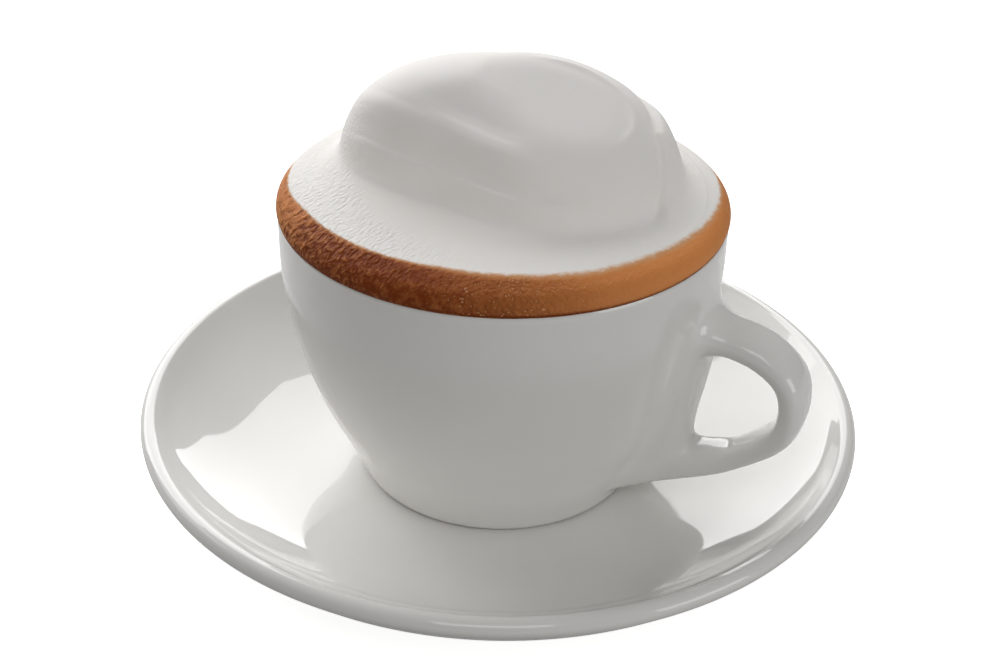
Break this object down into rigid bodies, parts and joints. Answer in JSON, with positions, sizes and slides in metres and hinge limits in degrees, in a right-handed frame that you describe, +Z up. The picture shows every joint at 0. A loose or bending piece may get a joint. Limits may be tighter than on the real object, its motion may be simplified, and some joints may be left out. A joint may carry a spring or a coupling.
{
  "type": "cappuccino in a cup and saucer",
  "caption": "Cappuccino with a tall folded mound of white milk foam and a brown rim, in a white porcelain cup with a loop handle, on its saucer.",
  "frame": {"origin": "centre of the saucer's foot ring, on the table", "axes": "+Z up, +X from the cup's axis towards the handle, +Y to the left of the handle seen from the cup"},
  "size_m": [0.15, 0.15, 0.0933],
  "materials": {
    "saucer_porcelain": "glossy white glaze",
    "cup_porcelain": "glossy white glaze",
    "milk_foam": "satin moist foam"
  },
  "bodies": {
    "root": {"saucer": "saucer_porcelain", "cup": "cup_porcelain", "drink": "milk_foam"}
  },
  "joints": []
}
